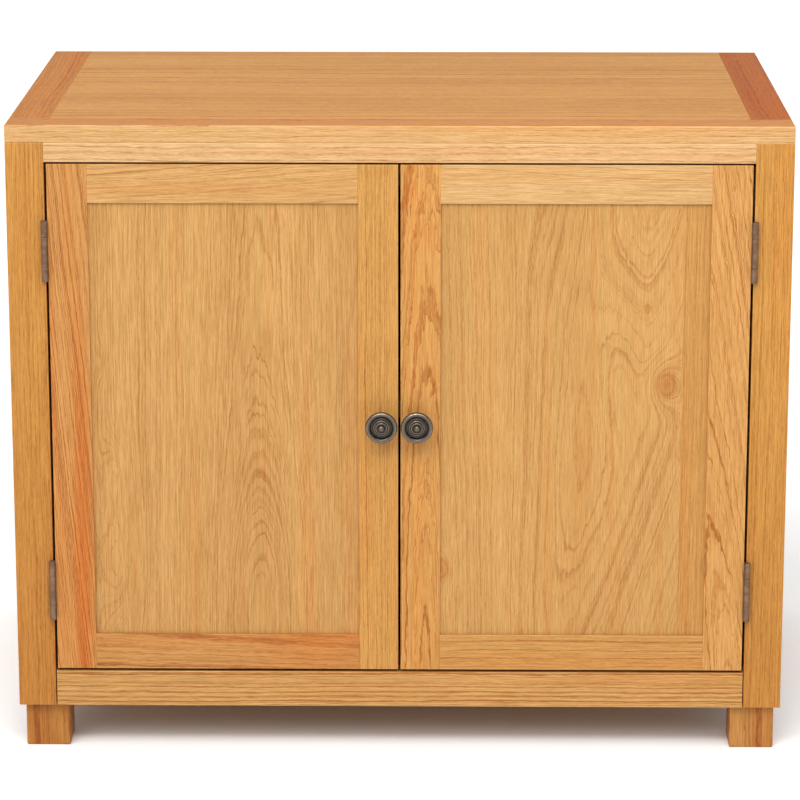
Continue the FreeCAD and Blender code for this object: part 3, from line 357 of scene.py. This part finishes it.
    def paint(self):
        """Build the colour, the relief and the roughness."""
        board = self.board
        early, line = self.early_wood()
        fibre = self.span(self.grain(FIBRE_NOISE, roughness=FIBRE_HARSHNESS), *FIBRE_SPAN)
        fleck = self.span(self.grain(FLECK_NOISE, detail=1), *FLECK_SPAN)
        porous = self.math("MULTIPLY_ADD", early, PORE_IN_EARLY_WOOD, PORE_IN_LATE_WOOD)
        pore = self.math("MULTIPLY", fleck, porous)
        streaks = self.span(self.streak, *STREAK_SPAN)

        colour = self.board_tone()
        colour = self.tinted(colour, LATE_LINE, self.math("MULTIPLY", line, board.line))
        colour = self.tinted(colour, WARM, self.math("MULTIPLY", streaks, board.warm))
        colour = self.vector("MULTIPLY", colour, self.blend(fibre, FIBRE_DARK, FIBRE_PALE))
        colour = self.tinted(colour, PORE, self.math("MULTIPLY", pore, board.pores))
        for bell, _ in self.knot_bells:
            core = self.ramp(bell, KNOT_CORE)
            colour = self.tinted(colour, KNOT, self.math("MULTIPLY", core, KNOT_STRENGTH))
        # painted highlight on the rounded edges
        colour = self.tinted(colour, EDGE_HIGHLIGHT, self.painted_edge_highlight())

        relief = self.math("MULTIPLY", fibre, FIBRE_RELIEF)
        relief = self.math("MULTIPLY_ADD", pore, PORE_RELIEF, relief)
        relief = self.math("MULTIPLY_ADD", line, LINE_RELIEF, relief)
        self.bump(relief, RELIEF_HEIGHT, RELIEF_STRENGTH)
        roughness = self.math("MULTIPLY_ADD", fibre, FIBRE_ROUGHNESS, OAK_ROUGHNESS)
        roughness = self.math("MULTIPLY_ADD", pore, PORE_ROUGHNESS, roughness)
        self.set_evenly("Specular IOR Level", board.gloss)
        self.finish(colour, roughness)


# The upper tints and the lower-end tints in this table are painted shade.
BOARDS = {
    "top_front_rail": Board(
        "ZYX", (227, 178, 117), 0.0036, (-0.03, 0.04),
        line=0.75, wander=0.004, gloss=0.05, upper=(0.96, 0.69, 0.46),
    ),
    "top_centre_panel": Board(
        "YZX", (233, 170, 93), 0.0050, (0.05, 0.05), line=1.3, wander=0.012, gloss=0.05,
    ),
    "top_left_strip": Board(
        "XZY", (217, 152, 77), 0.0040, (0.05, 0.03),
        line=0.8, gloss=0.05, upper=(1.0, 0.83, 0.66),
    ),
    "top_right_strip": Board(
        "XZY", (211, 136, 56), 0.0040, (-0.05, 0.03),
        line=0.8, gloss=0.05, upper=(0.90, 0.62, 0.39),
    ),
    "front_left_post": Board(
        "XYZ", (214, 150, 69), 0.0038, (0.05, 0.03),
        line=0.6, wander=0.006, shaded_low_end=(0.86, 0.77, 0.66),
    ),
    "front_right_post": Board(
        "XYZ", (214, 152, 70), 0.0042, (-0.06, 0.03),
        line=0.6, wander=0.006, shaded_low_end=(0.93, 0.86, 0.80),
    ),
    "rear_left_post": Board("XYZ", (205, 144, 70), 0.0040, (0.05, 0.03)),
    "rear_right_post": Board("XYZ", (207, 145, 72), 0.0040, (-0.05, 0.03)),
    "front_top_rail": Board(
        "ZYX", (233, 187, 129), 0.0036, (0.03, 0.05), line=0.85, wander=0.004,
    ),
    "door_stop_rail": Board("ZYX", (211, 157, 93), 0.0040, (0.03, 0.03)),
    "front_bottom_rail": Board(
        "ZYX", (221, 169, 99), 0.0048, (0.05, 0.02), line=2.0, wander=0.005,
    ),
    "rear_top_rail": Board("ZYX", (211, 157, 93), 0.0042, (0.03, 0.03)),
    "rear_bottom_rail": Board("ZYX", (205, 149, 85), 0.0042, (0.03, 0.03)),
    "left_side_top_rail": Board("ZXY", (215, 159, 91), 0.0042, (0.05, 0.03)),
    "left_side_bottom_rail": Board("ZXY", (209, 151, 84), 0.0042, (-0.05, 0.03)),
    "right_side_top_rail": Board("ZXY", (215, 159, 91), 0.0042, (0.05, 0.03)),
    "right_side_bottom_rail": Board("ZXY", (209, 151, 84), 0.0042, (-0.05, 0.03)),
    "left_side_panel": Board(
        "YXZ", (213, 163, 95), 0.0040, (0.02, 0.045), slope=-0.05, line=0.4,
    ),
    "right_side_panel": Board(
        "YXZ", (215, 163, 95), 0.0040, (-0.03, 0.045), slope=0.05, line=0.4,
    ),
    "cabinet_floor": Board("YZX", (211, 157, 93), 0.0045, (0.05, 0.05)),
    "shelf": Board("YZX", (213, 159, 95), 0.0045, (-0.05, 0.05)),
    "back_panel": Board(
        "XYZ", (207, 159, 99), 0.0050, (0.05, 0.05), slope=0.05, line=0.5,
    ),
    "front_left_foot": Board("XYZ", (191, 127, 56), 0.0050, (0.02, 0.03), line=1.3, warm=0.6),
    "front_right_foot": Board("XYZ", (206, 145, 74), 0.0050, (-0.02, 0.03), line=1.3, warm=0.6),
    "rear_left_foot": Board("XYZ", (183, 120, 59), 0.0050, (0.02, 0.02), warm=0.6),
    "rear_right_foot": Board("XYZ", (185, 122, 61), 0.0050, (-0.02, 0.02), warm=0.6),
    "left_door_hinge_stile": Board(
        "XYZ", (219, 158, 87), 0.0052, (0.07, 0.04), lean=-0.10, line=1.5, warm=0.6,
        blushes=((0.012, -0.04, 0.013, 0.17, 0.6), (0.002, -0.20, 0.030, 0.15, 0.75)),
    ),
    "left_door_meeting_stile": Board(
        "XYZ", (221, 164, 86), 0.0046, (-0.08, 0.02),
        line=1.0, wander=0.005, blushes=((0.020, -0.15, 0.009, 0.16, 0.7),),
    ),
    "left_door_top_rail": Board(
        "ZYX", (224, 172, 105), 0.0048, (0.08, 0.03), lean=0.09, line=0.8,
    ),
    "left_door_bottom_rail": Board(
        "ZYX", (209, 149, 81), 0.0050, (0.04, 0.03), slope=0.06,
        line=1.0, ragged=0.003, warm=0.4, blushes=((-0.004, 0.10, 0.03, 0.07, 0.9),),
    ),
    "left_door_panel": Board(
        "XYZ", (215, 162, 93), 0.0031, (0.037, 0.040), slope=-0.025,
        line=0.65, wander=0.008, warm=0.35, pores=0.4,
        swirls=(
            (-0.126, 0.062, 0.003, 0.008),
            (-0.114, -0.058, 0.006, 0.020),
            (-0.108, -0.150, 0.011, 0.036),
            (0.038, -0.200, 0.024, -0.030),
        ),
    ),
    "right_door_meeting_stile": Board(
        "XYZ", (220, 158, 82), 0.0050, (0.005, 0.02), slope=-0.06, line=1.15, ragged=0.0038,
        blushes=((-0.006, 0.240, 0.014, 0.010, 0.35), (0.008, 0.195, 0.012, 0.012, 0.5)),
    ),
    "right_door_hinge_stile": Board(
        "XYZ", (228, 168, 94), 0.0052, (-0.028, 0.03), lean=-0.13, slope=-0.06,
        line=1.1, ragged=0.0025,
    ),
    "right_door_top_rail": Board(
        "ZYX", (224, 177, 113), 0.0046, (0.07, 0.03), lean=-0.05, line=0.55, pores=0.4,
    ),
    "right_door_bottom_rail": Board("ZYX", (214, 157, 85), 0.0046, (0.06, 0.02), line=1.0),
    "right_door_panel": Board(
        "XYZ", (217, 164, 94), 0.0062, (0.027, 0.060), lean=0.2, lean_from=-0.10, slope=0.08,
        line=0.55, wander=0.016, warm=0.4, pores=0.4, joint=0.110,
        knots=(
            (0.095, 0.040, 0.0080, 0.034),
            (-0.137, -0.158, 0.007, 0.018),
            (0.074, 0.120, 0.0025, 0.004),
        ),
        swirls=((0.043, 0.066, 0.015, 0.020),),
    ),
}

for seed, (name, board) in enumerate(BOARDS.items(), start=1):
    Oak(name, board, seed)

# Metal and plastic -------------------------------------------------------------------

MOTTLE_NOISE = (120, 120, 120)
GRAIN_NOISE = (700, 700, 700)
MOTTLE_SHIFT, GRAIN_SHIFT = (3, 5, 7), (1, 2, 4)
MOTTLE_SPAN = (0.40, 0.66)
GRAIN_SPAN = (0.2, 0.8)
GRAIN_ROUGHNESS = 0.08  # either way
GRAIN_HEIGHT, GRAIN_STRENGTH = 0.0001, 0.35


def metal(name, nodes, colour, worn, roughness, metallic=1.0):
    """Cast or rolled metal with a mottled finish and light wear, or moulded plastic."""
    shader = Shader(name)
    place = shader.coordinates()["Object"]
    mottle = shader.noise(place, MOTTLE_NOISE, MOTTLE_SHIFT, detail=3)
    mottle = shader.span(mottle, *MOTTLE_SPAN)
    grain = shader.noise(place, GRAIN_NOISE, GRAIN_SHIFT)
    smooth, rough = roughness - GRAIN_ROUGHNESS, roughness + GRAIN_ROUGHNESS
    shader.bump(grain, GRAIN_HEIGHT, GRAIN_STRENGTH)
    shader.set_evenly("Metallic", metallic)
    shader.finish(
        shader.blend(mottle, linear(*colour), linear(*worn)),
        shader.span(grain, *GRAIN_SPAN, smooth, rough),
    )
    for node in nodes:
        shader.give_to(node)


DARK, MID, BRIGHT = linear(50, 46, 42), linear(90, 82, 75), linear(130, 118, 107)
BUTTON, TARNISH = linear(112, 98, 84), linear(98, 84, 72)
KNOB_TURNINGS = (  # from the knob's middle to its rim, over its radius
    (0.0, BUTTON), (0.20, MID), (0.27, DARK), (0.34, BRIGHT), (0.40, DARK), (0.47, BRIGHT),
    (0.53, DARK), (0.60, MID), (0.68, DARK), (0.80, MID), (0.92, BRIGHT), (1.0, DARK),
)
KNOB_MOTTLE_NOISE = (260, 260, 260)
KNOB_GRAIN_NOISE = (1500, 1500, 1500)
TURNING_SHAKE = 0.05  # how far the mottle moves the edges of the turnings
TARNISH_SPAN = (0.45, 0.75, 0.0, 0.6)
KNOB_GRAIN_HEIGHT, KNOB_GRAIN_STRENGTH = 0.00008, 0.4
KNOB_ROUGHNESS = (0.26, 0.42)
KNOB_METALLIC = 0.9


def knob_finish(node):
    """Antiqued pewter: dark in the grooves of the turned rings, worn on their tops."""
    low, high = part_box(node)
    radius = (high.x - low.x) / 2
    shader = Shader(f"pewter_{node}")
    place = shader.coordinates()["Object"]
    local = shader.vector("SUBTRACT", place, tuple((low + high) / 2))
    flat = shader.vector("MULTIPLY", local, (1 / radius, 0, 1 / radius))
    reach = shader.add("ShaderNodeVectorMath", {0: flat}, operation="LENGTH").outputs["Value"]
    reach = shader.math("SUBTRACT", reach, TURNING_SHAKE / 2)
    mottle = shader.noise(place, KNOB_MOTTLE_NOISE, MOTTLE_SHIFT, detail=3)
    shaken = shader.math("MULTIPLY_ADD", mottle, TURNING_SHAKE, reach)
    colour = shader.ramp(shaken, KNOB_TURNINGS)
    colour = shader.blend(shader.span(mottle, *TARNISH_SPAN), colour, TARNISH)
    grain = shader.noise(place, KNOB_GRAIN_NOISE, GRAIN_SHIFT)
    shader.bump(grain, KNOB_GRAIN_HEIGHT, KNOB_GRAIN_STRENGTH)
    shader.set_evenly("Metallic", KNOB_METALLIC)
    shader.finish(colour, shader.span(grain, *GRAIN_SPAN, *KNOB_ROUGHNESS))
    shader.give_to(node)


SIDES = ("left", "right")
HINGES = ["hinge_pins"] + [
    f"{side}_{level}_hinge_{leaf}_leaf"
    for side in SIDES for level in ("upper", "lower") for leaf in ("frame", "door")
]
STEEL = [
    "shelf_pins", "back_panel_screws", "top_fixing_screws", "foot_bolts", "carcass_wood_screws",
]
for side in SIDES:
    knob_finish(f"{side}_door_knob")
    STEEL += [f"{side}_door_{piece}" for piece in ("knob_screw", "strike_plate", "wood_screws")]
metal("antique_bronze", HINGES, (112, 87, 70), (134, 106, 86), 0.48, metallic=0.75)
metal("zinc_steel", STEEL, (150, 152, 156), (186, 188, 190), 0.36)
metal("catch_plastic", ["catch_housing"], (58, 54, 50), (70, 66, 62), 0.5, metallic=0.0)
metal("magnet_steel", ["catch_magnets"], (84, 84, 88), (110, 110, 114), 0.4)

# Studio ------------------------------------------------------------------------------

FLOOR_REACH = 40.0  # so large that the floor fills every view
PAPER_DARK, PAPER_PALE = (0.94, 0.94, 0.94), (0.97, 0.97, 0.97)
PAPER_NOISE = (3, 3, 3)
PAPER_ROUGHNESS, PAPER_GLOSS = 0.9, 0.1
SUN_STRENGTH, SUN_SPREAD = 1.9, math.radians(50)
SUN_PLACE, SUN_TARGET = (-0.5, -1.9, 2.6), (0, 0, 0.3)
BOX_PLACE, BOX_TARGET = (0.0, -1.35, 1.45), (0, -0.2, 0.55)
BOX_SIZE, BOX_WATTS = (1.4, 0.4), 9
SKY_STRENGTH = 0.75

SENSOR = 36.0  # millimetres
FOCAL_PIXELS = 3575.0
FRAME_PIXELS = 800.0
CAMERA_PLACE = (0.0449, -3.8, 1.2833)
CAMERA_TILT, CAMERA_TURN = 0.2482, 0.0124  # down, and to the left
CLIP_END = 200.0


def studio_floor():
    """A pale seamless floor."""
    outline = ((-1, -1), (1, -1), (1, 1), (-1, 1))
    corners = [(x * FLOOR_REACH, y * FLOOR_REACH, 0) for x, y in outline]
    mesh = bpy.data.meshes.new("studio_floor")
    mesh.from_pydata(corners, [], [(0, 1, 2, 3)])
    floor = bpy.data.objects.new("studio_floor", mesh)
    bpy.context.scene.collection.objects.link(floor)
    shader = Shader("studio_floor_paper")
    cloud = shader.noise(shader.coordinates()["Object"], PAPER_NOISE, (0, 0, 0), detail=3)
    shader.finish(shader.blend(cloud, PAPER_DARK, PAPER_PALE), PAPER_ROUGHNESS)
    shader.set_evenly("Specular IOR Level", PAPER_GLOSS)
    mesh.materials.append(shader.material)


def aim(thing, place, target):
    """Put a lamp in the scene, turned towards its target."""
    thing.location = place
    thing.rotation_euler = (Vector(target) - Vector(place)).to_track_quat("-Z", "Y").to_euler()
    bpy.context.scene.collection.objects.link(thing)


def studio_lights():
    """A broad, soft key light from above, a softbox in front and an even pale sky."""
    sun = bpy.data.lights.new("broad_key", "SUN")
    sun.energy = SUN_STRENGTH
    sun.angle = SUN_SPREAD
    aim(bpy.data.objects.new("broad_key", sun), SUN_PLACE, SUN_TARGET)
    box = bpy.data.lights.new("front_box", "AREA")
    box.shape = "RECTANGLE"
    box.size, box.size_y = BOX_SIZE
    box.energy = BOX_WATTS
    aim(bpy.data.objects.new("front_box", box), BOX_PLACE, BOX_TARGET)
    world = bpy.data.worlds.new("studio")
    bpy.context.scene.world = world
    world.use_nodes = True
    sky = world.node_tree.nodes["Background"].inputs
    sky["Color"].default_value = (1, 1, 1, 1)
    sky["Strength"].default_value = SKY_STRENGTH


def studio_camera():
    """The photo's viewing angle."""
    camera = bpy.data.cameras.new("camera")
    camera.sensor_width = SENSOR
    camera.lens = FOCAL_PIXELS * SENSOR / FRAME_PIXELS
    camera.clip_end = CLIP_END
    viewer = bpy.data.objects.new("camera", camera)
    viewer.location = CAMERA_PLACE
    viewer.rotation_euler = (math.pi / 2 - CAMERA_TILT, 0.0, CAMERA_TURN)
    bpy.context.scene.collection.objects.link(viewer)
    bpy.context.scene.camera = viewer


studio_floor()
studio_lights()
studio_camera()
bpy.context.scene.view_settings.view_transform = "Standard"
